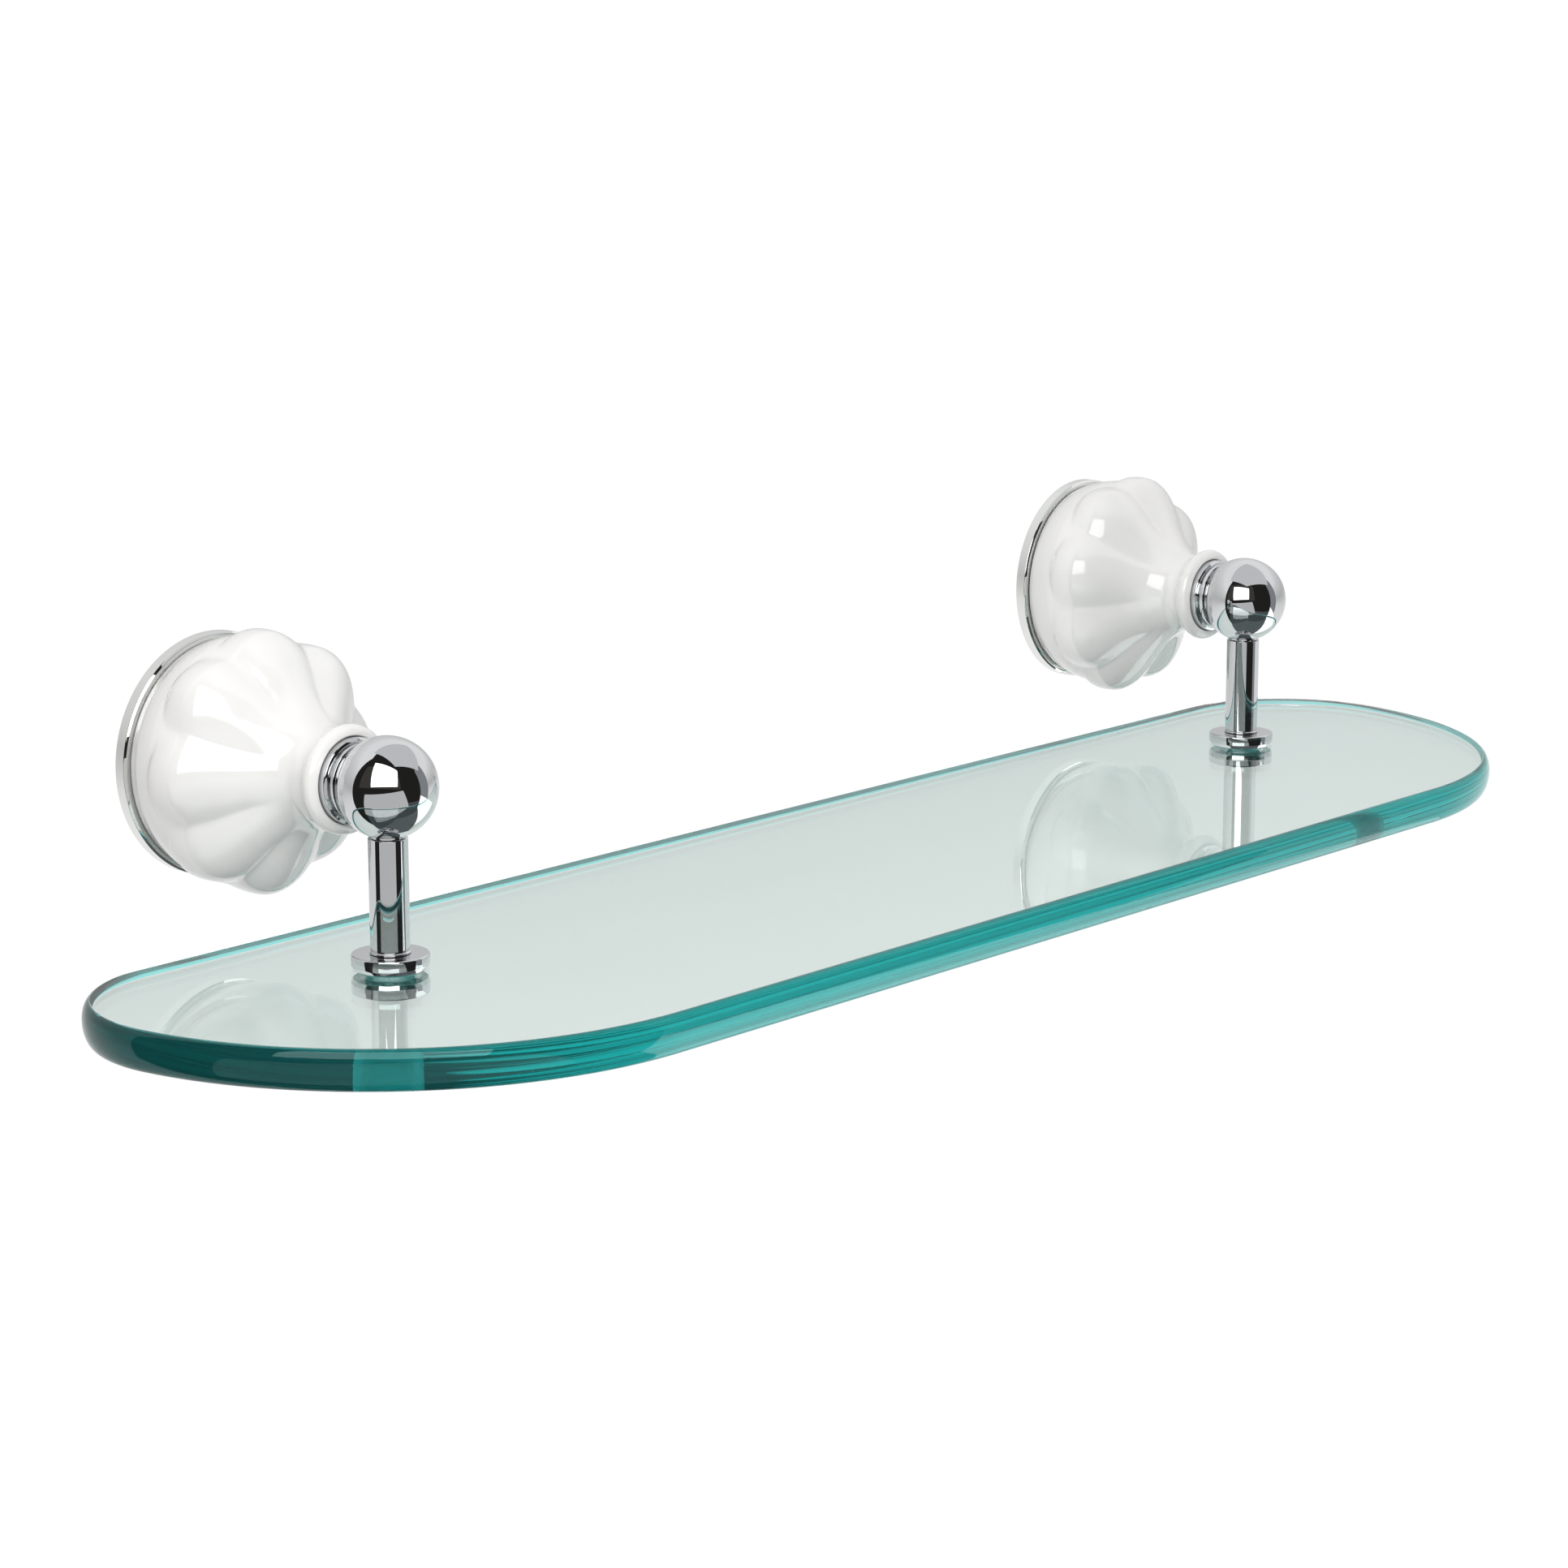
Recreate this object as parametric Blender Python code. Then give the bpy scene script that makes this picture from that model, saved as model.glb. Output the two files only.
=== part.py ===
"""Glass wall shelf on two brackets, each a fluted china rosette with a ball and a post.

Metres. +X runs along the shelf, +Y goes into the wall, +Z is up. The wall plane is
y = 0, and the origin lies on it midway between the brackets, level with the balls.
"""

import math

import bmesh
import bpy
from mathutils import Vector

MM = 0.001

# Layout
SPACING = 347.0 * MM  # between the two brackets
REACH = 62.0 * MM  # from the wall to the post's axis
GAP = 0.15 * MM  # between faces that touch
BORE_GAP = 0.3 * MM  # between a shaft and its bore

# Glass shelf
GLASS_LENGTH = 500.0 * MM
GLASS_THICK = 10.0 * MM
GLASS_TOP = -43.4 * MM
GLASS_FRONT = -141.7 * MM
GLASS_BACK = -16.7 * MM
FRONT_CORNER = 93.0 * MM  # the two arcs of an end meet where their directions agree
BACK_CORNER = 38.8 * MM
EDGE_ROUND = 2.2 * MM  # how far the polished edge bulges past the flat faces
GLASS_HOLE = 6.0 * MM

# Post, its flange and what clamps the glass
BALL_R = 12.25 * MM
POST_R = 4.75 * MM
POST_TOP = -8.8 * MM
FLANGE_R = 9.4 * MM
FLANGE_THICK = 2.8 * MM
FLANGE_ROUND = 0.3 * MM
GASKET_R = 8.6 * MM
GASKET_THICK = 0.5 * MM
THREAD_R = 3.0 * MM
THREAD_IN_POST = 10.0 * MM
SOCKET_DEPTH = 11.5 * MM
BUSH_R = GLASS_HOLE - BORE_GAP
HEX_R = 2.9 * MM  # corner radius of the hexagon socket in the screw's head
HEX_DEPTH = 2.0 * MM

# Wall side, distances out from the wall along the bracket's axis
PLATE_R = 25.5 * MM
PLATE_THICK = 3.0 * MM
BOSS_R = 7.0 * MM
BOSS_END = 16.0 * MM
SCREW_HOLE_R = 2.4 * MM
SCREW_HOLE_AT = 17.0 * MM
RING_R = 29.9 * MM
RING_RIM = 2.7 * MM
RING_FRONT = 3.5 * MM
ROD_START = 4.0 * MM
ROD_END = 55.5 * MM
WASHER_THICK = 0.5 * MM

# Rosette
LOBES = 8
GROOVE_TURN = {"left": 157.7, "right": 187.4}  # where one groove lies, in degrees
CHINA_BASE = 4.3 * MM
SEAT = 48.6 * MM  # floor of the recess in the lip, where the collar sits
# Distance from the wall, radius over a lobe, radius in a groove, all in mm.
CHINA_OUTSIDE = (
    (4.3, 28.2, 28.2), (5.2, 28.8, 28.8), (11.5, 30.4, 30.4), (14.2, 31.7, 30.5),
    (17.5, 32.6, 30.0), (21.0, 32.4, 29.2), (24.5, 30.4, 27.3), (28.0, 26.1, 23.4),
    (31.5, 20.6, 18.9), (35.0, 16.4, 15.4), (39.0, 13.1, 12.7), (43.5, 11.3, 11.3),
    (46.2, 12.1, 12.1), (47.8, 13.2, 13.2), (49.3, 12.9, 12.9), (50.3, 11.2, 11.2),
)
# Distance from the wall and radius, from the lip back to the base.
CHINA_INSIDE = (
    (50.1, 10.7), (48.6, 10.6), (48.6, 4.0), (43.0, 4.0), (33.5, 11.4), (27.0, 19.0),
    (20.0, 24.6), (4.3, 25.9),
)

SIDES = (("left", -1), ("right", 1))

GLASS = ("glass", (0.72, 0.86, 0.84), 0.02, 0.0)
CHROME = ("chrome", (0.83, 0.84, 0.85), 0.04, 1.0)
CHINA = ("china", (0.93, 0.93, 0.92), 0.08, 0.0)
STEEL = ("zinc_steel", (0.62, 0.63, 0.64), 0.35, 1.0)
CLEAR = ("clear_gasket", (0.80, 0.84, 0.83), 0.35, 0.0)
OLIVE = ("wall_gasket", (0.36, 0.35, 0.30), 0.6, 0.0)
NYLON = ("nylon_bush", (0.90, 0.90, 0.88), 0.45, 0.0)


def clear_scene():
    for obj in list(bpy.data.objects):
        bpy.data.objects.remove(obj)


def material_for(node, look):
    slot, colour, rough, metal = look
    material = bpy.data.materials.new(f"{node}.{slot}")
    material.use_nodes = True
    shader = material.node_tree.nodes["Principled BSDF"]
    shader.inputs["Base Color"].default_value = (*colour, 1.0)
    shader.inputs["Roughness"].default_value = rough
    shader.inputs["Metallic"].default_value = metal
    if slot == "glass":
        shader.inputs["Transmission Weight"].default_value = 1.0
        shader.inputs["IOR"].default_value = 1.52
    return material


def finish(bm, name, look, parent=None):
    """The mesh as an object with its own material, its faces pointing out."""
    bmesh.ops.recalc_face_normals(bm, faces=bm.faces)
    mesh = bpy.data.meshes.new(name)
    bm.to_mesh(mesh)
    bm.free()
    obj = bpy.data.objects.new(name, mesh)
    mesh.materials.append(material_for(name, look))
    bpy.context.scene.collection.objects.link(obj)
    obj.parent = parent
    return obj


def skin(bm, rings, closed):
    """Quads between rings of equal length. A ring of one vertex is a pole."""
    pairs = list(zip(rings, rings[1:]))
    if closed:
        pairs.append((rings[-1], rings[0]))
    for a, b in pairs:
        count = max(len(a), len(b))
        if count == 1:
            continue
        for i in range(count):
            j = (i + 1) % count
            corners = [a[i % len(a)], a[j % len(a)], b[j % len(b)], b[i % len(b)]]
            bm.faces.new(list(dict.fromkeys(corners)))


def turned(name, profile, look, parent, segments=32):
    """A body turned about its local Z from (radius, height) points.

    A profile that starts and ends on the axis makes a solid with poles. Any other
    profile is a loop round the section of a ring.
    """
    bm = bmesh.new()
    rings = []
    for radius, height in profile:
        count = segments if radius > 0 else 1
        rings.append([
            bm.verts.new((
                radius * math.cos(2 * math.pi * i / count),
                radius * math.sin(2 * math.pi * i / count),
                height,
            ))
            for i in range(count)
        ])
    skin(bm, rings, profile[0][0] > 0)
    return finish(bm, name, look, parent)


def cutter(name, profile, parent, location=(0, 0, 0), segments=32):
    """A turned body that only cuts others. Its corners lie off its parent's radii."""
    tool = turned(name, profile, STEEL, parent, segments)
    tool.location = location
    tool.rotation_euler.z = math.radians(7)
    tool.hide_render = True
    tool.display_type = "WIRE"
    return tool


def cut(obj, tool):
    modifier = obj.modifiers.new(tool.name, "BOOLEAN")
    modifier.operation = "DIFFERENCE"
    modifier.solver = "EXACT"
    modifier.object = tool


def rod_profile(radius, low, high):
    return ((0, low), (radius, low), (radius, high), (0, high))


def ring_profile(inner, outer, low, high):
    return ((inner, low), (outer, low), (outer, high), (inner, high))


def glass_outline(inset, per_arc=14):
    """Points round the shelf's outline, anticlockwise from the front right corner.

    Each end is a wide arc at the front that runs smoothly into a tighter one behind.
    """
    big, small = FRONT_CORNER, BACK_CORNER
    front = Vector((0, GLASS_FRONT + big))
    back = Vector((GLASS_LENGTH / 2 - small, GLASS_BACK - small))
    rise = front.y - back.y
    front.x = back.x - math.sqrt((big - small) ** 2 - rise ** 2)
    join = -math.asin(rise / (big - small))
    right = []
    for centre, radius, start, end in (
        (front, big - inset, -math.pi / 2, join), (back, small - inset, join, math.pi / 2),
    ):
        for i in range(per_arc):
            angle = start + (end - start) * i / (per_arc - 1)
            right.append(centre + radius * Vector((math.cos(angle), math.sin(angle))))
    del right[per_arc]  # the two arcs share this point
    return right + [Vector((-p.x, p.y)) for p in reversed(right)]


def make_glass():
    """The pane, with its edge polished to a half ellipse all the way round."""
    bm = bmesh.new()
    rings = []
    for degrees in (-90, -60, -30, 0, 30, 60, 90):
        angle = math.radians(degrees)
        inset = EDGE_ROUND * (1 - math.cos(angle))
        height = GLASS_TOP + GLASS_THICK / 2 * (math.sin(angle) - 1)
        rings.append([bm.verts.new((p.x, p.y, height)) for p in glass_outline(inset)])
    skin(bm, rings, False)
    bm.faces.new(rings[0])
    bm.faces.new(rings[-1])
    glass = finish(bm, "glass_shelf", GLASS)
    for side, sign in SIDES:
        hole = cutter(
            f"{side}_glass_hole",
            rod_profile(GLASS_HOLE, GLASS_TOP - 2 * GLASS_THICK, GLASS_TOP + GLASS_THICK),
            None,
            (sign * SPACING / 2, -REACH, 0),
        )
        cut(glass, hole)


def make_rosette(side, axis):
    """A hollow china bell: round at the wall and at the neck, lobed between them."""
    per_lobe = 8
    count = LOBES * per_lobe
    turn = math.radians(GROOVE_TURN[side])
    bm = bmesh.new()
    rings = []
    for out, crest, groove in CHINA_OUTSIDE:
        ring = []
        for i in range(count):
            across = abs(math.sin(math.pi * i / per_lobe))
            radius = (groove + (crest - groove) * across ** 0.9) * MM
            angle = turn + 2 * math.pi * i / count
            ring.append(bm.verts.new((
                radius * math.cos(angle), radius * math.sin(angle), out * MM,
            )))
        rings.append(ring)
    for out, radius in CHINA_INSIDE:
        rings.append([
            bm.verts.new((
                radius * MM * math.cos(turn + 2 * math.pi * i / count),
                radius * MM * math.sin(turn + 2 * math.pi * i / count),
                out * MM,
            ))
            for i in range(count)
        ])
    skin(bm, rings, True)
    finish(bm, f"{side}_rosette", CHINA, axis)


def make_wall_side(side, axis):
    """Everything on the horizontal axis, where local Z runs out from the wall."""
    plate = turned(
        f"{side}_wall_plate",
        (
            (THREAD_R + BORE_GAP, 0), (PLATE_R, 0), (PLATE_R, PLATE_THICK),
            (BOSS_R, PLATE_THICK), (BOSS_R, BOSS_END), (THREAD_R + BORE_GAP, BOSS_END),
        ),
        STEEL, axis, 36,
    )
    for sign, where in ((1, "upper"), (-1, "lower")):
        cut(plate, cutter(
            f"{side}_{where}_screw_hole",
            rod_profile(SCREW_HOLE_R, -PLATE_THICK, 2 * PLATE_THICK),
            axis, (0, sign * SCREW_HOLE_AT, 0), 16,
        ))
    inner = PLATE_R + BORE_GAP
    turned(
        f"{side}_wall_ring",
        (
            (inner, 0), (RING_R, 0), (RING_R, RING_RIM - 0.3 * MM),
            (RING_R - 0.3 * MM, RING_RIM), (RING_R - 1.0 * MM, RING_FRONT),
            (inner, RING_FRONT),
        ),
        CHROME, axis, 48,
    )
    low, high = RING_FRONT + GAP, CHINA_BASE - GAP
    turned(
        f"{side}_wall_gasket", ring_profile(26.0 * MM, 28.4 * MM, low, high),
        OLIVE, axis, 36,
    )
    make_rosette(side, axis)
    turned(
        f"{side}_tie_rod", rod_profile(THREAD_R, ROD_START, ROD_END), STEEL, axis, 20,
    )
    bore = THREAD_R + BORE_GAP
    turned(
        f"{side}_neck_washer",
        ring_profile(bore, 9.8 * MM, SEAT + GAP, SEAT + GAP + WASHER_THICK),
        CLEAR, axis, 24,
    )
    low = SEAT + 2 * GAP + WASHER_THICK
    turned(
        f"{side}_collar",
        (
            (bore, low), (10.2 * MM, low), (10.2 * MM, 51.7 * MM),
            (9.8 * MM, 52.05 * MM), (8.9 * MM, 52.15 * MM), (8.9 * MM, 52.35 * MM),
            (9.45 * MM, 52.55 * MM), (9.45 * MM, 53.7 * MM), (9.1 * MM, 53.6 * MM),
            (8.0 * MM, 52.5 * MM), (6.5 * MM, 51.45 * MM), (5.0 * MM, 50.62 * MM),
            (bore, 50.0 * MM),
        ),
        CHROME, axis, 28,
    )


def make_ball(side, upright):
    """A ball with a round socket for the post and one for the tie rod."""
    steps = 14
    profile = [
        (BALL_R * math.sin(math.pi * i / steps), -BALL_R * math.cos(math.pi * i / steps))
        for i in range(steps + 1)
    ]
    profile[0], profile[-1] = (0, -BALL_R), (0, BALL_R)
    ball = turned(f"{side}_ball", profile, CHROME, upright, 28)
    cut(ball, cutter(
        f"{side}_post_socket", rod_profile(POST_R + BORE_GAP, -2 * BALL_R, POST_TOP + GAP),
        upright, segments=32,
    ))
    tunnel = cutter(
        f"{side}_rod_socket",
        rod_profile(THREAD_R + BORE_GAP, REACH - ROD_END - GAP, 2 * BALL_R),
        upright, segments=20,
    )
    tunnel.rotation_euler = (math.radians(-90), 0, 0)
    cut(ball, tunnel)


def make_upright_side(side, upright):
    """Everything on the post's axis, with the ball's centre at height 0."""
    make_ball(side, upright)
    bore = THREAD_R + BORE_GAP
    gasket_low = GLASS_TOP + GAP
    flange_low = gasket_low + GASKET_THICK + GAP
    flange_top = flange_low + FLANGE_THICK
    post_low = flange_top + GAP
    turned(
        f"{side}_post",
        (
            (bore, post_low), (POST_R, post_low), (POST_R, POST_TOP), (0, POST_TOP),
            (0, post_low + SOCKET_DEPTH), (bore, post_low + SOCKET_DEPTH),
        ),
        CHROME, upright, 28,
    )
    turned(
        f"{side}_flange",
        (
            (bore, flange_low), (FLANGE_R, flange_low),
            (FLANGE_R, flange_top - FLANGE_ROUND), (FLANGE_R - FLANGE_ROUND, flange_top),
            (bore, flange_top),
        ),
        CHROME, upright, 36,
    )
    turned(
        f"{side}_upper_gasket",
        ring_profile(bore, GASKET_R, gasket_low, gasket_low + GASKET_THICK),
        CLEAR, upright, 24,
    )
    glass_low = GLASS_TOP - GLASS_THICK
    turned(
        f"{side}_bush", ring_profile(bore, BUSH_R, glass_low + GAP, GLASS_TOP - GAP),
        NYLON, upright, 24,
    )
    return post_low


def make_clamp(side, upright, post_low):
    """The flanged screw below the glass and the gasket that it presses up."""
    bore = THREAD_R + BORE_GAP
    gasket_top = GLASS_TOP - GLASS_THICK - GAP
    gasket_low = gasket_top - GASKET_THICK
    head_top = gasket_low - GAP
    head_low = head_top - FLANGE_THICK
    gasket = turned(
        f"{side}_lower_gasket",
        ring_profile(bore, GASKET_R, 0, GASKET_THICK),
        CLEAR, upright, 24,
    )
    gasket.location.z = gasket_low
    tip = post_low + THREAD_IN_POST - head_low
    thick = head_top - head_low
    round_off = 0.5 * MM
    screw = turned(
        f"{side}_clamp_screw",
        (
            (0, 0), (FLANGE_R - round_off, 0), (FLANGE_R - 0.15 * MM, 0.15 * MM),
            (FLANGE_R, round_off), (FLANGE_R, thick), (THREAD_R, thick),
            (THREAD_R, tip - 0.6 * MM), (THREAD_R - 0.6 * MM, tip), (0, tip),
        ),
        CHROME, upright, 36,
    )
    screw.location.z = head_low
    slot = cutter(
        f"{side}_hex_socket", rod_profile(HEX_R, -thick, HEX_DEPTH), screw, segments=6,
    )
    cut(screw, slot)


def main():
    clear_scene()
    make_glass()
    for side, sign in SIDES:
        axis = bpy.data.objects.new(f"{side}_bracket_axis", None)
        axis.location = (sign * SPACING / 2, 0, 0)
        axis.rotation_euler = (math.radians(90), 0, 0)
        upright = bpy.data.objects.new(f"{side}_post_axis", None)
        upright.location = (sign * SPACING / 2, -REACH, 0)
        for empty in (axis, upright):
            bpy.context.scene.collection.objects.link(empty)
        make_wall_side(side, axis)
        post_low = make_upright_side(side, upright)
        make_clamp(side, upright, post_low)


main()
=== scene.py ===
"""Looks for the glass wall shelf with two china rosettes: fine meshes, materials, studio.

Row frame: metres, +X along the shelf, +Y into the wall, +Z up, wall plane y = 0, origin
midway between the brackets and level with their balls. Meshes are drawn in millimetres
round a bracket's own axes and placed by MM.
"""

import math

import bmesh
import bpy
from mathutils import Matrix, Vector

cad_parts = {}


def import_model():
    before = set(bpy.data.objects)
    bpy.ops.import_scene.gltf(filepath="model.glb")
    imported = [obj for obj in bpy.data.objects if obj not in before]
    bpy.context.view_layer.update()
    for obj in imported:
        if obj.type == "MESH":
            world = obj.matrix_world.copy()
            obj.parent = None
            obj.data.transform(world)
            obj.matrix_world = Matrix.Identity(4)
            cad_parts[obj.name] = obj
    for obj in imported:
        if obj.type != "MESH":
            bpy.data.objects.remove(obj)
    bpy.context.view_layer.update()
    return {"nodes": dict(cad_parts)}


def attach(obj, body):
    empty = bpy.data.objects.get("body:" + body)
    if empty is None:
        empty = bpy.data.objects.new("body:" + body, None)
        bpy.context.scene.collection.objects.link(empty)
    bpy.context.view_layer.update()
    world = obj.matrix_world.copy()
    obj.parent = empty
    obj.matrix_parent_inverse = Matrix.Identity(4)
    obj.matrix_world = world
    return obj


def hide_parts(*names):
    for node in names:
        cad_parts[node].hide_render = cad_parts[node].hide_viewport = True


MM = 0.001
ON_AXIS = 1e-6  # a smaller radius is a pole

# Layout, as in the CAD, in millimetres
BRACKET_X = 173.5
REACH = 62.0
SIDES = (("left", -1), ("right", 1))
BORE_R = 3.3  # bores that the 6 mm tie rods and clamp screws run through

# Glass. The front, the back, the two corner radii and the upper bulge come from another
# program's least-squares fit to its outline, rounded.
GLASS_HALF = 250.0
GLASS_FRONT = -141.7
GLASS_BACK = -16.7
GLASS_TOP = -43.4
GLASS_THICK = 10.0
FRONT_CORNER = 93.0
BACK_CORNER = 38.8
EDGE_HIGH = (2.2, 4.3)  # bulge and height of the polished edge above its widest line
EDGE_LOW = (2.8, 5.7)  # the same below it
HOLE_R = 6.0
EDGE_STEPS = 10

# Ball, about its centre
BALL_R = 12.25
BALL_STEPS = 72
SOCKET_R = 4.9  # the post's socket, from below
SOCKET_FLOOR = -8.65
SOCKET_FILLET = 0.12
ROD_BORE_START = 6.35  # the tie rod's bore, towards the wall
ROD_BORE_DEPTH = 30.0

# Turned pieces on the wall side: (radius, distance from the wall, fillet) corners
RING = (
    (25.8, 0, 0.2), (29.9, 0, 0.2), (29.9, 3.0, 0.3), (29.4, 3.5, 0.25), (25.8, 3.5, 0.2),
)
WALL_GASKET = ((26.0, 3.65, 0.1), (27.6, 3.65, 0.2), (27.6, 4.15, 0.2), (26.0, 4.15, 0.1))
COLLAR = (
    (BORE_R, 49.4, 0), (10.45, 49.4, 0.1), (10.45, 51.7, 0.4), (9.75, 52.1, 0.15),
    (8.9, 52.15, 0.08), (8.9, 52.35, 0.08), (9.45, 52.5, 0.2), (9.45, 53.7, 0.12),
    (9.1, 53.6, 0), (8.0, 52.5, 0), (6.5, 51.45, 0), (5.0, 50.62, 0), (BORE_R, 50.0, 0),
)

# Turned pieces on the post's axis: (radius, height from the ball's centre, fillet) corners
POST = (
    (0, -8.8, 0), (4.35, -8.8, 0.25), (4.35, -11.7, 0.1), (4.75, -12.05, 0.1),
    (4.75, -38.95, 0.15), (4.6, -39.05, 0.05), (4.95, -39.3, 0.12), (4.95, -39.65, 0.08),
    (BORE_R, -39.65, 0), (BORE_R, -28.15, 0), (0, -28.15, 0),
)
FLANGE = (  # a shallow cup over its gasket
    (BORE_R, -42.6, 0), (8.75, -42.6, 0), (8.75, -43.3, 0.06), (8.95, -43.3, 0.08),
    (9.36, -42.4, 0.9), (9.4, -41.4, 0.8), (9.36, -39.8, 0.45), (BORE_R, -39.8, 0),
)
UPPER_GASKET = ((BORE_R, -43.25, 0), (8.6, -43.25, 0.2), (8.6, -42.75, 0.2), (BORE_R, -42.75, 0))
BUSH = ((BORE_R, -53.25, 0), (5.7, -53.25, 0.3), (5.7, -43.55, 0.3), (BORE_R, -43.55, 0))
LOWER_GASKET = ((BORE_R, -54.05, 0), (8.6, -54.05, 0.2), (8.6, -53.55, 0.2), (BORE_R, -53.55, 0))
SCREW = (  # its head is a cup under its gasket
    (0, -57.0, 0), (9.36, -57.0, 0.45), (9.4, -55.4, 0.8), (9.36, -54.4, 0.9),
    (8.95, -53.5, 0.08), (8.75, -53.5, 0.06), (8.75, -54.2, 0), (3.0, -54.2, 0.1),
    (3.0, -30.25, 0), (2.4, -29.65, 0), (0, -29.65, 0),
)
HEX_R = 2.9  # the hexagon socket in the screw's head, to its corners
HEX_FLOOR = -55.0
HEX_TOOL_LOW = -60.0

# Rosette. The turns and the fade come from another program's least-squares fit to its
# outline. The right turn was then changed.
LOBES = 8
GROOVE_TURN = {"left": 157.7, "right": 187.4}
PER_LOBE = 30
ARCH_START = 12.6  # where a petal begins over its middle
ARCH_DEPTH = 3.2  # how much further out it begins at its grooves
PETAL_HEIGHT = 3.05
PETAL_RISE = 2.8  # distance in which it gains 63% of that height
PETAL_SOFTNESS = 0.22  # how softly it leaves the base band
FADE_START = 22.0  # where it begins to die away towards the neck
FADE_LENGTH = 11.9
VALLEY = 0.13  # how round a groove's bottom is
FINE_STEP = 0.3
COARSE_STEP = 0.6
FINE_BANDS = ((0, 6), (11, 19), (44, 51))  # distances from the wall with fine steps
# Distance from the wall and radius: along a groove, then inside from the lip to the base
GROOVE_LINE = (
    (3.75, 28.25), (4.2, 28.5), (4.75, 28.7), (5.6, 28.98), (8.0, 29.72), (10.5, 30.28),
    (12.6, 30.5), (14.5, 30.38), (16.5, 30.05), (19.0, 29.66), (21.0, 29.3), (23.0, 28.35),
    (25.0, 26.75), (28.0, 23.2), (31.5, 18.6), (35.0, 15.15), (38.5, 12.8), (41.5, 11.55),
    (44.4, 11.2), (45.6, 11.6), (46.5, 12.4), (47.4, 13.05), (48.3, 13.25), (49.2, 12.98),
    (49.9, 12.25), (50.3, 11.35),
)
CHINA_INSIDE = (
    (50.25, 10.9), (50.0, 10.65), (48.6, 10.6), (48.6, 4.0), (43.0, 4.0), (33.5, 11.4),
    (27.0, 19.0), (20.0, 24.6), (4.3, 25.9), (4.3, 27.75), (3.75, 27.85),
)

# CAD nodes that stay, and their material slots
CARRIED_OVER = (("wall_plate", "steel"), ("tie_rod", "steel"), ("neck_washer", "clear"))

# Camera, solved by another program from the object's outlines: metres, degrees, and
# millimetres of lens
CAMERA_AT = (-0.82060, -0.75190, 0.20498)
CAMERA_TURN = (77.7636, 0.0, -48.7924)
CAMERA_LENS = 94.721


# ---------------------------------------------------------------- meshes


def new_piece(bm, name, matrix=Matrix.Identity(4), sharp=35.0):
    """The mesh as a smooth object in metres, its faces pointing out."""
    bmesh.ops.recalc_face_normals(bm, faces=bm.faces)
    bm.transform(matrix @ Matrix.Scale(MM, 4))
    mesh = bpy.data.meshes.new(name)
    bm.to_mesh(mesh)
    bm.free()
    mesh.shade_smooth()
    mesh.set_sharp_from_angle(angle=math.radians(sharp))
    obj = bpy.data.objects.new(name, mesh)
    bpy.context.scene.collection.objects.link(obj)
    return obj


def upright(side_sign):
    """Millimetres with local Z up the post and height 0 at the ball's centre."""
    return Matrix.Translation((side_sign * BRACKET_X * MM, -REACH * MM, 0))


def outward(side_sign):
    """Millimetres with local Z out from the wall along the bracket's axis."""
    place = Matrix.Translation((side_sign * BRACKET_X * MM, 0, 0))
    return place @ Matrix.Rotation(math.radians(90), 4, "X")


def rounded(corners, steps=6):
    """A profile with each (radius, height, fillet) corner turned into an arc."""
    points = []
    count = len(corners)
    for i, (radius, height, fillet) in enumerate(corners):
        here = Vector((radius, height))
        if not fillet:
            points.append(here)
            continue
        before = Vector(corners[i - 1][:2]) - here
        after = Vector(corners[(i + 1) % count][:2]) - here
        half = before.angle(after) / 2
        reach = min(fillet / math.tan(half), 0.49 * before.length, 0.49 * after.length)
        true_r = reach * math.tan(half)
        bisector = (before.normalized() + after.normalized()).normalized()
        centre = here + bisector * (true_r / math.sin(half))
        start = here + before.normalized() * reach - centre
        end = here + after.normalized() * reach - centre
        sweep = start.angle_signed(end)
        for k in range(steps + 1):
            a = -sweep * k / steps
            c, s = math.cos(a), math.sin(a)
            points.append(centre + Vector((c * start.x - s * start.y, s * start.x + c * start.y)))
    return points


def skin(bm, rings, closed):
    """Quads between rings of equal length. A ring of one vertex is a pole."""
    pairs = list(zip(rings, rings[1:]))
    if closed:
        pairs.append((rings[-1], rings[0]))
    for a, b in pairs:
        count = max(len(a), len(b))
        if count == 1:
            continue
        for i in range(count):
            j = (i + 1) % count
            loop = [a[i % len(a)], a[j % len(a)], b[j % len(b)], b[i % len(b)]]
            bm.faces.new(list(dict.fromkeys(loop)))


def ring_at(bm, radii, height, turn=0.0):
    """Vertices evenly round Z at one height, one for each radius."""
    ring = []
    for i, radius in enumerate(radii):
        angle = turn + 2 * math.pi * i / len(radii)
        ring.append(bm.verts.new((radius * math.cos(angle), radius * math.sin(angle), height)))
    return ring


def lathe(profile, segments):
    """A bmesh turned about Z. It is a loop unless it starts on the axis."""
    bm = bmesh.new()
    rings = [
        ring_at(bm, [radius] * (segments if radius > ON_AXIS else 1), height)
        for radius, height in profile
    ]
    skin(bm, rings, profile[0][0] > ON_AXIS)
    return bm


def even_normals(obj):
    """Flat faces keep their own direction beside a small fillet."""
    modifier = obj.modifiers.new("even_normals", "WEIGHTED_NORMAL")
    modifier.keep_sharp = True
    modifier.weight = 50


def turned(name, corners, matrix, segments=128, steps=6):
    obj = new_piece(lathe(rounded(corners, steps), segments), name, matrix)
    even_normals(obj)
    return obj


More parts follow.
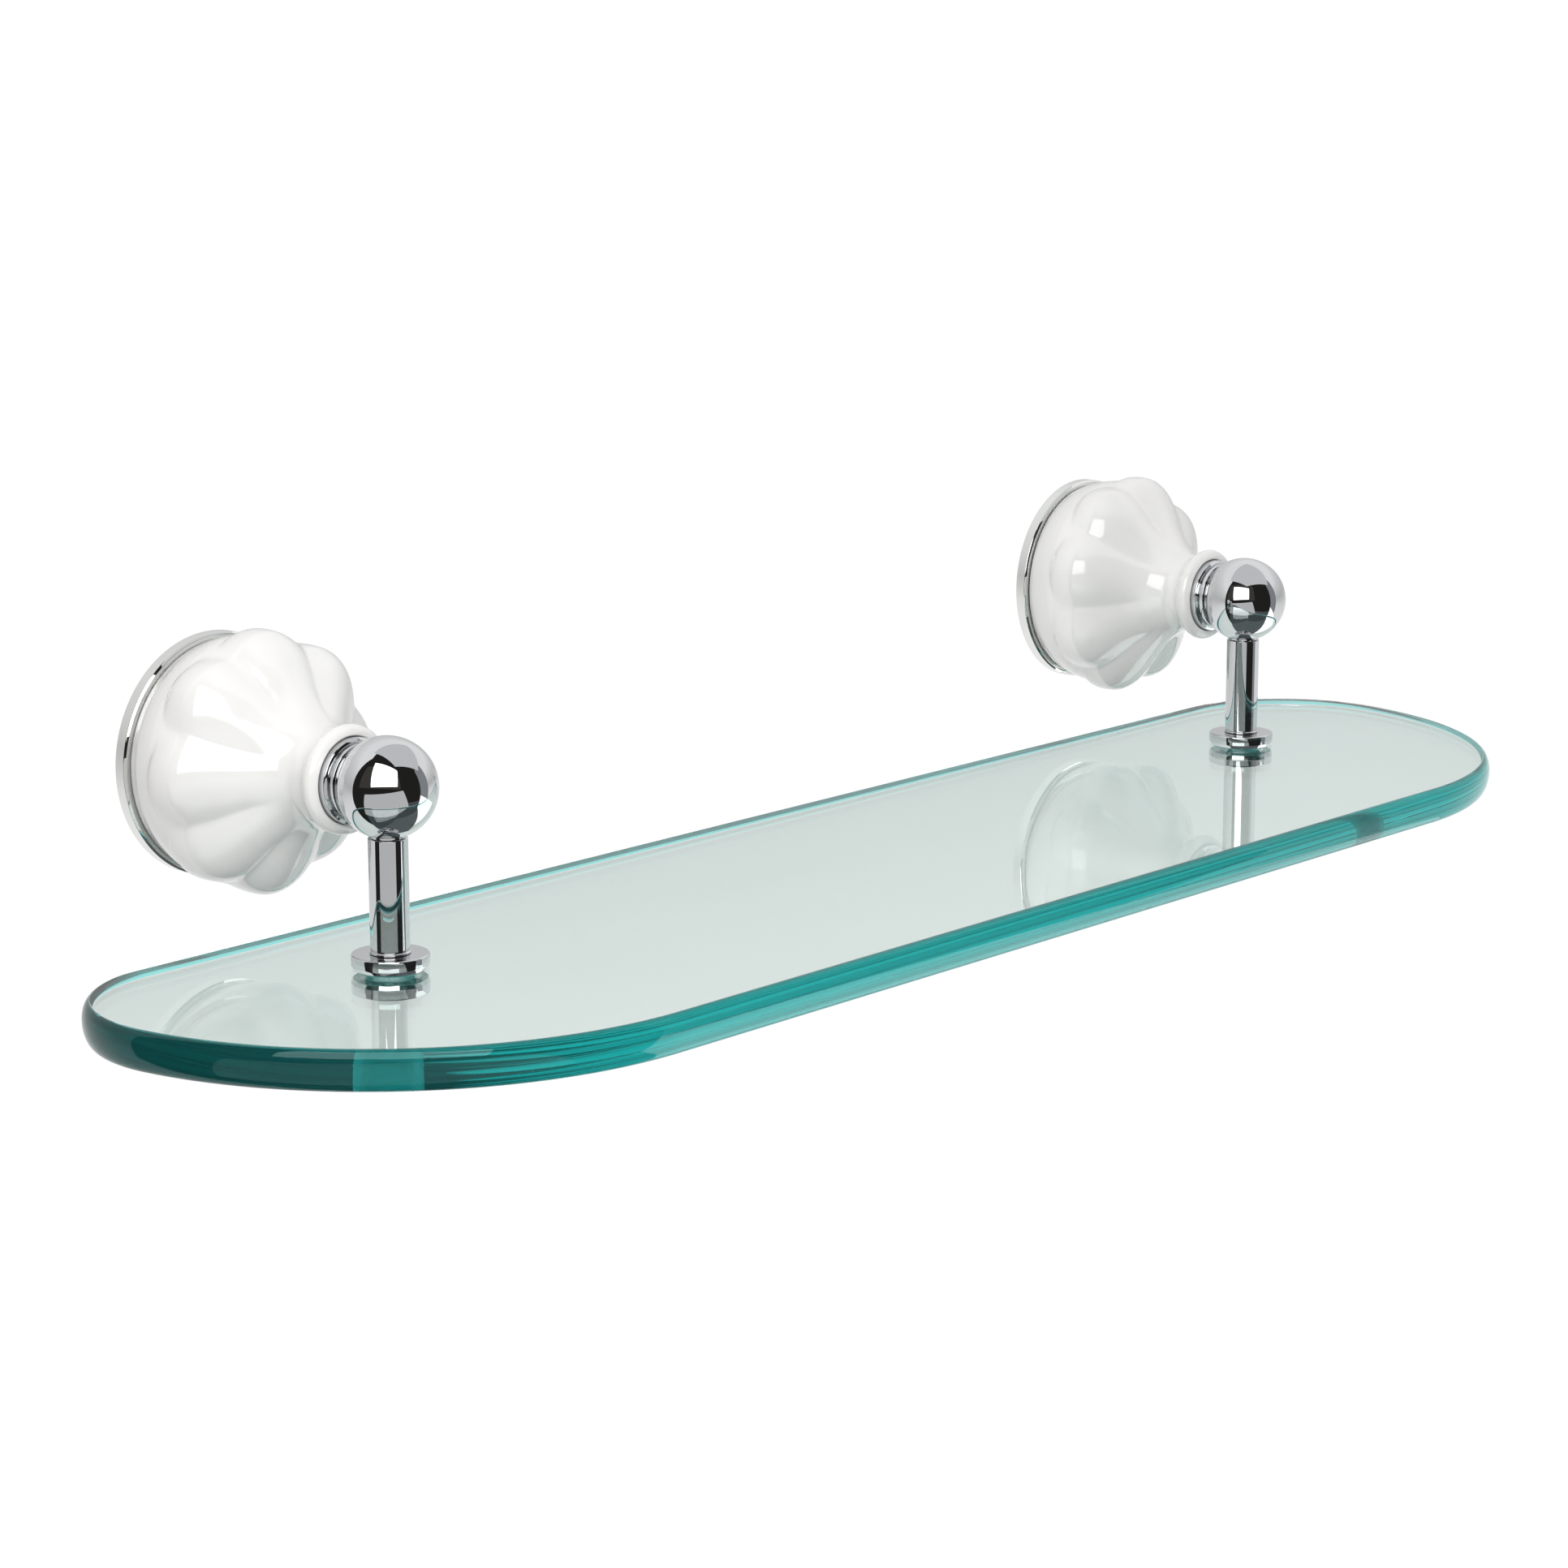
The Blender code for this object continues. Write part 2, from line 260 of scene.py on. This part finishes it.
def boolean(obj, tool_bm, matrix):
    """Takes the tool's solid out of obj, and leaves no modifier."""
    tool = new_piece(tool_bm, obj.name + "_tool", matrix)
    modifier = obj.modifiers.new("cut", "BOOLEAN")
    modifier.operation = "DIFFERENCE"
    modifier.solver = "EXACT"
    modifier.object = tool
    bpy.context.view_layer.update()
    cut = bpy.data.meshes.new_from_object(
        obj.evaluated_get(bpy.context.evaluated_depsgraph_get())
    )
    obj.modifiers.clear()
    obj.data = cut
    obj.data.shade_smooth()
    obj.data.set_sharp_from_angle(angle=math.radians(30))
    bpy.data.objects.remove(tool)


def glass_outline(inset, per_arc=48):
    """Points round the pane: a wide arc at each front corner, a tighter one behind."""
    big, small = FRONT_CORNER, BACK_CORNER
    front = Vector((0, GLASS_FRONT + big))
    back = Vector((GLASS_HALF - small, GLASS_BACK - small))
    rise = front.y - back.y
    front.x = back.x - math.sqrt((big - small) ** 2 - rise ** 2)
    join = -math.asin(rise / (big - small))
    right = []
    for centre, radius, start, end in (
        (front, big - inset, -math.pi / 2, join), (back, small - inset, join, math.pi / 2),
    ):
        for i in range(per_arc):
            angle = start + (end - start) * i / (per_arc - 1)
            right.append(centre + radius * Vector((math.cos(angle), math.sin(angle))))
    del right[per_arc]  # the two arcs share this point
    return right + [Vector((-p.x, p.y)) for p in reversed(right)]


def make_glass():
    """The pane: its edge is two quarter ellipses that meet at the widest line."""
    bm = bmesh.new()
    rings = []
    for k in range(-EDGE_STEPS, EDGE_STEPS + 1):
        angle = math.pi / 2 * k / EDGE_STEPS
        bulge, tall = EDGE_HIGH if k > 0 else EDGE_LOW
        inset = bulge * (1 - math.cos(angle))
        height = GLASS_TOP - EDGE_HIGH[1] + tall * math.sin(angle)
        rings.append([bm.verts.new((p.x, p.y, height)) for p in glass_outline(inset)])
    skin(bm, rings, False)
    bm.faces.new(rings[0])
    bm.faces.new(rings[-1])
    glass = new_piece(bm, "glass_pane")
    for _, sign in SIDES:
        low, high = GLASS_TOP - 3 * GLASS_THICK, GLASS_TOP + GLASS_THICK
        hole = lathe(((0, low), (HOLE_R, low), (HOLE_R, high), (0, high)), 96)
        boolean(glass, hole, upright(sign))
    even_normals(glass)
    return glass


def smooth_line(points, x):
    """Monotone cubic through (x, y) points."""
    n = len(points)
    if x <= points[0][0]:
        return points[0][1]
    if x >= points[-1][0]:
        return points[-1][1]
    k = max(i for i in range(n - 1) if points[i][0] <= x)

    def secant(i):
        return (points[i + 1][1] - points[i][1]) / (points[i + 1][0] - points[i][0])

    def slope(i):
        if i == 0 or i == n - 1:
            return secant(min(i, n - 2))
        a, b = secant(i - 1), secant(i)
        if a * b <= 0:
            return 0.0
        return 2 * a * b / (a + b)

    h = points[k + 1][0] - points[k][0]
    t = (x - points[k][0]) / h
    return (
        (2 * t**3 - 3 * t**2 + 1) * points[k][1]
        + (t**3 - 2 * t**2 + t) * h * slope(k)
        + (-2 * t**3 + 3 * t**2) * points[k + 1][1]
        + (t**3 - t**2) * h * slope(k + 1)
    )


def petal(out, across):
    """How far a petal stands proud, across running 0 in a groove to 1 over its middle."""
    rim = ARCH_START + ARCH_DEPTH * (1 - across)
    past = out - rim
    past = PETAL_SOFTNESS * math.log1p(math.exp(min(past / PETAL_SOFTNESS, 60)))
    fade = 1.0 if out < FADE_START else math.exp(-(((out - FADE_START) / FADE_LENGTH) ** 4))
    valley = (math.hypot(across, VALLEY) - VALLEY) / (math.hypot(1, VALLEY) - VALLEY)
    return PETAL_HEIGHT * (1 - math.exp(-past / PETAL_RISE)) * valley * fade


def stations():
    """Distances from the wall at which the rosette's outside is drawn."""
    outs = []
    out = GROOVE_LINE[0][0]
    while out < GROOVE_LINE[-1][0] - 0.05:
        outs.append(out)
        out += FINE_STEP if any(low < out < high for low, high in FINE_BANDS) else COARSE_STEP
    return outs + [GROOVE_LINE[-1][0]]


def make_rosette(side, sign):
    count = LOBES * PER_LOBE
    turn = math.radians(GROOVE_TURN[side])
    across = [abs(math.sin(math.pi * i / PER_LOBE)) for i in range(count)]
    bm = bmesh.new()
    rings = []
    for out in stations():
        base = smooth_line(GROOVE_LINE, out)
        rings.append(ring_at(bm, [base + petal(out, a) for a in across], out, turn))
    for out, radius in CHINA_INSIDE:
        rings.append(ring_at(bm, [radius] * count, out, turn))
    skin(bm, rings, True)
    return new_piece(bm, f"{side}_china_rosette", outward(sign), sharp=60)


def make_ball(side, sign):
    """Ball with the post's socket in its turned section and the tie rod's bored in."""
    start = math.asin(SOCKET_R / BALL_R)
    corners = [(0, SOCKET_FLOOR, 0), (SOCKET_R, SOCKET_FLOOR, 0)]
    for i in range(BALL_STEPS + 1):
        angle = start + (math.pi - start) * i / BALL_STEPS
        corners.append((BALL_R * math.sin(angle), -BALL_R * math.cos(angle), 0))
    corners[2] = (SOCKET_R, -BALL_R * math.cos(start), SOCKET_FILLET)
    corners[-1] = (0, BALL_R, 0)
    ball = new_piece(lathe(rounded(corners), 144), f"{side}_chrome_ball", upright(sign))
    depth = ROD_BORE_DEPTH
    boolean(
        ball,
        lathe(((0, 0), (BORE_R, 0), (BORE_R, depth), (0, depth)), 48),
        upright(sign) @ Matrix.Rotation(math.radians(-90), 4, "X")
        @ Matrix.Translation((0, 0, ROD_BORE_START * MM)),
    )
    return ball


def make_screw(side, sign):
    up = upright(sign)
    screw = turned(f"{side}_chrome_screw", SCREW, up, 160)
    low, high = HEX_TOOL_LOW, HEX_FLOOR
    boolean(screw, lathe(((0, low), (HEX_R, low), (HEX_R, high), (0, high)), 6), up)
    even_normals(screw)
    return screw


def side_pieces(side, sign):
    """Material slot, CAD node, body, and the piece itself."""
    up, out = upright(sign), outward(sign)

    def lathed(slot, node, piece, outline, place, segments, steps=6, body="shelf"):
        made = turned(f"{side}_{piece}", outline, place, segments, steps)
        return slot, f"{side}_{node}", body, made

    yield lathed("chrome", "wall_ring", "chrome_ring", RING, out, 192)
    yield lathed("wall_gasket", "wall_gasket", "base_gasket", WALL_GASKET, out, 144, 4)
    yield "china", f"{side}_rosette", "shelf", make_rosette(side, sign)
    yield lathed("chrome", "collar", "chrome_collar", COLLAR, out, 128)
    yield "chrome", f"{side}_ball", "shelf", make_ball(side, sign)
    yield lathed("chrome", "post", "chrome_post", POST, up, 128)
    yield lathed("chrome", "flange", "chrome_flange", FLANGE, up, 160)
    yield lathed("clear", "upper_gasket", "top_gasket", UPPER_GASKET, up, 96, 4)
    yield lathed("nylon", "bush", "hole_bush", BUSH, up, 96, 4)
    yield lathed(
        "clear", "lower_gasket", "bottom_gasket", LOWER_GASKET, up, 96, 4, f"{side}_gasket"
    )
    yield "chrome", f"{side}_clamp_screw", f"{side}_screw", make_screw(side, sign)


# ---------------------------------------------------------------- materials


def math_node(tree, operation, first, second=None):
    """A Math node's output. The second input is a socket, a float or nothing."""
    node = tree.nodes.new("ShaderNodeMath")
    node.operation = operation
    tree.links.new(first, node.inputs[0])
    if isinstance(second, float):
        node.inputs[1].default_value = second
    elif second is not None:
        tree.links.new(second, node.inputs[1])
    return node.outputs[0]


class Look:
    """A Principled material and the few nodes that its surface detail needs."""

    def __init__(self, name):
        self.material = bpy.data.materials.new(name)
        self.material.use_nodes = True
        self.tree = self.material.node_tree
        self.shader = self.tree.nodes["Principled BSDF"]
        self.out = self.tree.nodes["Material Output"]
        self.where = self.tree.nodes.new("ShaderNodeTexCoord").outputs["Object"]

    def set(self, **values):
        for key, value in values.items():
            self.shader.inputs[key.replace("_", " ")].default_value = value

    def noise(self, scale, detail=3.0, rough=0.5, stretch=None):
        node = self.tree.nodes.new("ShaderNodeTexNoise")
        node.inputs["Scale"].default_value = scale
        node.inputs["Detail"].default_value = detail
        node.inputs["Roughness"].default_value = rough
        where = self.where
        if stretch:
            mapping = self.tree.nodes.new("ShaderNodeMapping")
            mapping.inputs["Scale"].default_value = stretch
            self.tree.links.new(where, mapping.inputs["Vector"])
            where = mapping.outputs["Vector"]
        self.tree.links.new(where, node.inputs["Vector"])
        return node.outputs["Fac"]

    def ramp(self, value, stops):
        node = self.tree.nodes.new("ShaderNodeValToRGB")
        ramp = node.color_ramp
        while len(ramp.elements) < len(stops):
            ramp.elements.new(0.5)
        for element, (position, colour) in zip(ramp.elements, stops):
            element.position = position
            element.color = (*colour, 1.0)
        self.tree.links.new(value, node.inputs["Fac"])
        return node.outputs["Color"]

    def grade(self, value, low, high, start=0.3, end=0.7):
        """The value from start to end (a noise's usual spread) as low to high."""
        node = self.tree.nodes.new("ShaderNodeMapRange")
        node.inputs["From Min"].default_value = start
        node.inputs["From Max"].default_value = end
        node.inputs["To Min"].default_value = low
        node.inputs["To Max"].default_value = high
        self.tree.links.new(value, node.inputs["Value"])
        return node.outputs["Result"]

    def math(self, operation, first, second=None):
        return math_node(self.tree, operation, first, second)

    def mix(self, amount, low, high):
        node = self.tree.nodes.new("ShaderNodeMix")
        node.data_type = "RGBA"
        for value, index in ((amount, 0), (low, 6), (high, 7)):
            self.tree.links.new(value, node.inputs[index])
        return node.outputs[2]

    def feed(self, socket, key):
        self.tree.links.new(socket, self.shader.inputs[key])

    def bump(self, height, distance, strength=1.0, key="Normal"):
        node = self.tree.nodes.new("ShaderNodeBump")
        node.inputs["Distance"].default_value = distance
        node.inputs["Strength"].default_value = strength
        self.tree.links.new(height, node.inputs["Height"])
        self.tree.links.new(node.outputs["Normal"], self.shader.inputs[key])


def chrome(name, low, high):
    look = Look(name)
    look.set(Metallic=1.0)
    look.feed(look.ramp(look.noise(60), ((0.35, low), (0.65, high))), "Base Color")
    look.feed(look.grade(look.noise(140, 4), 0.015, 0.04), "Roughness")
    look.bump(look.noise(90, 1), 0.00001, 0.3)
    return look.material


def china():
    look = Look("china")
    look.set(IOR=1.5, Coat_Weight=1.0, Coat_Roughness=0.02, Coat_IOR=1.5)
    look.feed(
        look.ramp(look.noise(45), ((0.35, (0.86, 0.85, 0.83)), (0.65, (0.89, 0.88, 0.865)))),
        "Base Color",
    )
    look.feed(look.grade(look.noise(200), 0.12, 0.2), "Roughness")
    look.bump(look.noise(110, 2), 0.00004, 0.35)
    return look.material


def glass():
    """Clear on its faces. The polished edge is sea green, the drilled holes are ground.

    The edge's tint goes by the way it faces, darker behind, to look right from in front: that
    darker tint behind is painted shade, and so is the darker specular tint there.
    """
    look = Look("glass")
    look.set(IOR=1.52)
    new, link = look.tree.nodes.new, look.tree.links.new
    facing = new("ShaderNodeSeparateXYZ")
    link(new("ShaderNodeTexCoord").outputs["Normal"], facing.inputs[0])
    flat = look.math("ABSOLUTE", facing.outputs["Z"])
    face = look.ramp(look.noise(25), ((0.3, (0.985, 0.975, 0.940)), (0.7, (1.0, 0.988, 0.958))))
    front = look.ramp(look.noise(60), ((0.3, (0.08, 0.93, 0.92)), (0.7, (0.10, 0.96, 0.95))))
    # The back-facing edge's darker sea green is painted shade, not a different glass.
    back = look.ramp(look.noise(60), ((0.3, (0.05, 0.46, 0.455)), (0.7, (0.07, 0.50, 0.495))))
    rear_shade = look.grade(facing.outputs["Y"], 0.0, 1.0, -1.0, 1.0)
    edge = look.mix(rear_shade, front, back)
    flatness = look.grade(flat, 0.0, 1.0, 0.88, 0.99)
    look.feed(look.mix(flatness, edge, face), "Base Color")
    # The specular tint is darker on the back-facing edge: painted shade on its reflections.
    edge_shine = look.ramp(rear_shade, ((0.0, (0.58, 0.86, 0.86)), (1.0, (0.22, 0.48, 0.48))))
    face_shine = look.ramp(look.noise(25), ((0.0, (1.0, 1.0, 1.0)), (1.0, (0.99, 1.0, 1.0))))
    look.feed(look.mix(flatness, edge_shine, face_shine), "Specular Tint")
    place = new("ShaderNodeSeparateXYZ")
    link(look.where, place.inputs[0])
    aside = look.math("SUBTRACT", look.math("ABSOLUTE", place.outputs["X"]), BRACKET_X * MM)
    along = look.math("ADD", place.outputs["Y"], REACH * MM)
    from_hole = look.math(
        "SQRT", look.math("ADD", look.math("POWER", aside, 2.0), look.math("POWER", along, 2.0))
    )
    ground = look.math("LESS_THAN", from_hole, (HOLE_R + 0.2) * MM)
    streaks = look.grade(look.noise(90, 4), 0.0, 0.012)
    look.feed(look.math("MAXIMUM", streaks, look.math("MULTIPLY", ground, 0.45)), "Roughness")
    polished = look.grade(flat, 0.95, 1.0, 0.88, 0.99)
    frosting = look.math("MULTIPLY", ground, 0.5)
    look.feed(look.math("SUBTRACT", polished, frosting), "Transmission Weight")
    volume = new("ShaderNodeVolumeAbsorption")
    volume.inputs["Color"].default_value = (0.0, 0.655, 0.64, 1.0)
    volume.inputs["Density"].default_value = 14.0
    link(volume.outputs["Volume"], look.out.inputs["Volume"])
    return look.material


def steel():
    look = Look("zinc_steel")
    look.set(Metallic=1.0)
    look.feed(
        look.ramp(look.noise(120, 5), ((0.3, (0.50, 0.51, 0.52)), (0.7, (0.66, 0.67, 0.68)))),
        "Base Color",
    )
    look.feed(look.grade(look.noise(400, 4), 0.28, 0.45), "Roughness")
    look.bump(look.noise(900, 3), 0.00002, 0.5)
    return look.material


def clear():
    look = Look("clear_gasket")
    look.set(IOR=1.45, Transmission_Weight=0.7)
    look.feed(
        look.ramp(look.noise(300, 3), ((0.3, (0.22, 0.62, 0.59)), (0.7, (0.32, 0.72, 0.69)))),
        "Base Color",
    )
    look.feed(look.grade(look.noise(700, 3), 0.18, 0.34), "Roughness")
    look.bump(look.noise(900, 3), 0.00001, 0.4)
    return look.material


def wall_gasket():
    look = Look("wall_gasket")
    look.feed(
        look.ramp(look.noise(250, 4), ((0.3, (0.15, 0.145, 0.12)), (0.7, (0.23, 0.22, 0.185)))),
        "Base Color",
    )
    look.feed(look.grade(look.noise(900, 3), 0.45, 0.7), "Roughness")
    look.bump(look.noise(1200, 3), 0.00002, 0.5)
    return look.material


def nylon():
    look = Look("nylon_bush")
    look.set(IOR=1.53, Subsurface_Weight=0.1)
    look.feed(
        look.ramp(look.noise(250, 3), ((0.3, (0.80, 0.80, 0.77)), (0.7, (0.86, 0.86, 0.84)))),
        "Base Color",
    )
    look.feed(look.grade(look.noise(700, 3), 0.35, 0.5), "Roughness")
    look.bump(look.noise(900, 2), 0.00001, 0.4)
    return look.material


# ---------------------------------------------------------------- studio


def wall(x0, y0, x1, y1, low, high):
    """Corners of an upright card that stands on the line between two points."""
    return ((x0, y0, low), (x1, y1, low), (x1, y1, high), (x0, y0, high))


ROOM = (0.020, 0.019, 0.018)  # what the object mirrors where no card stands
THROUGH_GLASS = (0.9, 0.9, 0.9)  # a card's colour straight through the glass
# Height in millimetres and brightness of the sweep behind the object
SWEEP = (
    (-400, 1.0), (-150, 0.92), (-90, 0.85), (-20, 0.66), (20, 0.60), (100, 0.72), (300, 0.98),
)
# Cards round the object: corners in millimetres, and how bright each one is. The grey
# card's middle two corners were worked out by another program, which triangulated them
# from their reflections in the two balls.
CARDS = {
    "back_sweep": (wall(-522, 164, 560, 164, -1100, 900), "horizon"),
    "side_wall": (wall(560, 164, 640, -560, -330, 900), "horizon"),
    "side_wall_far": (wall(640, -560, 706, -1319, -330, 900), (0.28, 0.29, 0.31)),
    "side_wall_low": (wall(560, 164, 590, -130, -1000, -330), (0.85, 0.85, 0.85)),
    "bright_card": (wall(590, -130, 706, -1319, -1000, -330), (1.9, 1.9, 1.9)),
    "ceiling_card": (
        ((-262, 164, 620), (-262, -480, 620), (706, -900, 620), (620, 164, 620)),
        (0.70, 0.71, 0.72),
    ),
    "grey_card": (
        ((-760, -40, -50), (-272, -759, 35), (-72, -707, -403), (-560, 40, -400)),
        (0.62, 0.62, 0.62),
    ),
    "dark_floor": (
        ((-2500, -2500, -1080), (2500, -2500, -1080), (2500, 160, -1080), (-2500, 160, -1080)),
        (0.085, 0.095, 0.105),
    ),
    "room_behind": (wall(-1400, 300, -500, -1500, 150, 1500), (0.060, 0.055, 0.050)),
}
# Top left, top right and bottom right, in millimetres. Another program triangulated these
# in the same way, and their heights were then changed by hand.
SOFTBOX = ((-446, -54, 520), (-289, -623, 590), (-417, -673, 145))
SOFTBOX_RADIANCE = 3.1
FILL = 2.1
FILL_FROM = (-900, -1500, 250)  # millimetres
FILL_SIZE = 1.5  # metres
FLOOR_HALF = 90000  # millimetres
FLOOR_Z = -1100
FLOOR_GLOW = 1.02
MAX_BOUNCES = 32
CLEAR_BOUNCES = 24  # mirror and glass bounces, for the light inside the pane


def plain_view(tree):
    """1 for what the camera sees directly or straight through the glass."""
    ray = tree.nodes.new("ShaderNodeLightPath").outputs
    seen = math_node(tree, "MAXIMUM", ray["Is Camera Ray"], ray["Is Transmission Ray"])
    bounced = math_node(tree, "ADD", ray["Glossy Depth"], ray["Diffuse Depth"])
    return math_node(tree, "MULTIPLY", seen, math_node(tree, "LESS_THAN", bounced, 0.5))


def glow(name, colour, strength):
    material = bpy.data.materials.new(name)
    material.use_nodes = True
    tree = material.node_tree
    tree.nodes.clear()
    out = tree.nodes.new("ShaderNodeOutputMaterial")
    light = tree.nodes.new("ShaderNodeEmission")
    light.inputs["Color"].default_value = (*colour, 1.0)
    light.inputs["Strength"].default_value = strength
    tree.links.new(light.outputs["Emission"], out.inputs["Surface"])
    return material


def glow_colour(material):
    """The socket that holds a glow's colour."""
    nodes = material.node_tree.nodes
    return next(n for n in nodes if n.type == "EMISSION").inputs["Color"]


def quad(name, corners, material, camera_only=False):
    mesh = bpy.data.meshes.new(name)
    mesh.from_pydata([Vector(c) * MM for c in corners], [], [(0, 1, 2, 3)])
    mesh.materials.append(material)
    obj = bpy.data.objects.new(name, mesh)
    if camera_only:
        obj.visible_diffuse = obj.visible_glossy = obj.visible_transmission = False
        obj.visible_shadow = False
    bpy.context.scene.collection.objects.link(obj)
    return obj


def make_world():
    """White to the camera and through the glass, a dark room to all else."""
    world = bpy.data.worlds.new("studio")
    world.use_nodes = True
    tree = world.node_tree
    tree.nodes.clear()
    new, link = tree.nodes.new, tree.links.new
    room = new("ShaderNodeBackground")
    room.inputs["Color"].default_value = (*ROOM, 1.0)
    plain = new("ShaderNodeBackground")
    plain.inputs["Color"].default_value = (1, 1, 1, 1)
    mix = new("ShaderNodeMixShader")
    link(plain_view(tree), mix.inputs[0])
    link(room.outputs[0], mix.inputs[1])
    link(plain.outputs[0], mix.inputs[2])
    out = new("ShaderNodeOutputWorld")
    link(mix.outputs[0], out.inputs["Surface"])
    bpy.context.scene.world = world


def card_paint(name, colour):
    """The card's own colour to the object, and near white straight through the glass."""
    material = glow(name, colour, 1.0)
    tree = material.node_tree
    mix = tree.nodes.new("ShaderNodeMix")
    mix.data_type = "RGBA"
    tree.links.new(plain_view(tree), mix.inputs[0])
    mix.inputs[6].default_value = (*colour, 1.0)
    mix.inputs[7].default_value = (*THROUGH_GLASS, 1.0)
    tree.links.new(mix.outputs[2], glow_colour(material))
    return material


def sweep(name):
    """The white sweep behind the object, a little darker at the horizon."""
    material = glow(name, (1, 1, 1), 1.0)
    tree = material.node_tree
    new, link = tree.nodes.new, tree.links.new
    height = new("ShaderNodeSeparateXYZ")
    link(new("ShaderNodeNewGeometry").outputs["Position"], height.inputs[0])
    spread = new("ShaderNodeMapRange")
    low, high = SWEEP[0][0], SWEEP[-1][0]
    spread.inputs["From Min"].default_value = low * MM
    spread.inputs["From Max"].default_value = high * MM
    link(height.outputs["Z"], spread.inputs["Value"])
    ramp = new("ShaderNodeValToRGB")
    elements = ramp.color_ramp.elements
    while len(elements) < len(SWEEP):
        elements.new(0.5)
    for element, (z, level) in zip(elements, SWEEP):
        element.position = (z - low) / (high - low)
        element.color = (level, level, level, 1)
    link(spread.outputs["Result"], ramp.inputs["Fac"])
    link(ramp.outputs["Color"], glow_colour(material))
    return material


def make_studio():
    make_world()
    far, low = FLOOR_HALF, FLOOR_Z
    quad(
        "studio_floor",
        ((-far, -far, low), (far, -far, low), (far, far, low), (-far, far, low)),
        glow("pale_floor", (1, 1, 1), FLOOR_GLOW),
        camera_only=True,
    )
    for name, (corners, colour) in CARDS.items():
        material = sweep(name) if colour == "horizon" else card_paint(name, colour)
        card = quad(name, corners, material)
        card.visible_camera = card.visible_shadow = False
    softbox(*SOFTBOX, SOFTBOX_RADIANCE)
    fill = bpy.data.lights.new("front_fill", "AREA")
    fill.size, fill.energy = FILL_SIZE, FILL * math.pi * FILL_SIZE ** 2
    obj = bpy.data.objects.new("front_fill", fill)
    obj.location = Vector(FILL_FROM) * MM
    obj.rotation_euler = (-obj.location).to_track_quat("-Z", "Y").to_euler()
    obj.visible_glossy = obj.visible_transmission = obj.visible_camera = False
    bpy.context.scene.collection.objects.link(obj)


def softbox(top_left, top_right, bottom_right, radiance):
    """A rectangular light with these corners, squared up, that faces the object."""
    tl, tr, br = (Vector(p) * MM for p in (top_left, top_right, bottom_right))
    x, y = tr - tl, tr - br
    y -= x * (x.dot(y) / x.length_squared)
    light = bpy.data.lights.new("softbox", "AREA")
    light.shape = "RECTANGLE"
    light.size, light.size_y = x.length, y.length
    light.energy = radiance * math.pi * x.length * y.length
    obj = bpy.data.objects.new("softbox", light)
    centre = tl + x / 2 - y / 2
    z = x.cross(y).normalized()
    if z.dot(-centre) > 0:
        z, x = -z, -x
    rotation = Matrix((x.normalized(), y.normalized(), z)).transposed().to_4x4()
    obj.matrix_world = Matrix.Translation(centre) @ rotation
    obj.visible_camera = False
    bpy.context.scene.collection.objects.link(obj)


def make_camera():
    camera = bpy.data.cameras.new("camera")
    camera.lens = CAMERA_LENS
    camera.sensor_width = 36.0
    camera.clip_end = 300.0
    obj = bpy.data.objects.new("camera", camera)
    obj.location = CAMERA_AT
    obj.rotation_euler = [math.radians(angle) for angle in CAMERA_TURN]
    bpy.context.scene.collection.objects.link(obj)
    bpy.context.scene.camera = obj


def main():
    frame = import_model()
    looks = {
        "chrome": chrome("chrome", (0.65, 0.66, 0.67), (0.68, 0.69, 0.70)),
        # The wall rings' chrome is a brighter copy of the same chrome: painted light.
        "ring": chrome("ring_chrome_painted_bright", (0.79, 0.80, 0.78), (0.83, 0.84, 0.82)),
        "china": china(), "glass": glass(), "steel": steel(),
        "clear": clear(), "wall_gasket": wall_gasket(), "nylon": nylon(),
    }

    def dress(piece, slot, node, body):
        piece.data.materials.clear()
        # The wall rings take the brighter chrome copy, which is painted light.
        piece.data.materials.append(looks["ring" if node.endswith("wall_ring") else slot])
        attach(piece, body)
        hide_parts(node)

    dress(make_glass(), "glass", "glass_shelf", "shelf")
    for side, sign in SIDES:
        for slot, node, body, piece in side_pieces(side, sign):
            dress(piece, slot, node, body)
        for node, slot in CARRIED_OVER:
            for place in frame["nodes"][f"{side}_{node}"].material_slots:
                place.material = looks[slot]
    make_studio()
    make_camera()
    scene = bpy.context.scene
    scene.view_settings.view_transform = "Standard"
    scene.cycles.max_bounces = MAX_BOUNCES
    scene.cycles.glossy_bounces = CLEAR_BOUNCES
    scene.cycles.transmission_bounces = CLEAR_BOUNCES


main()
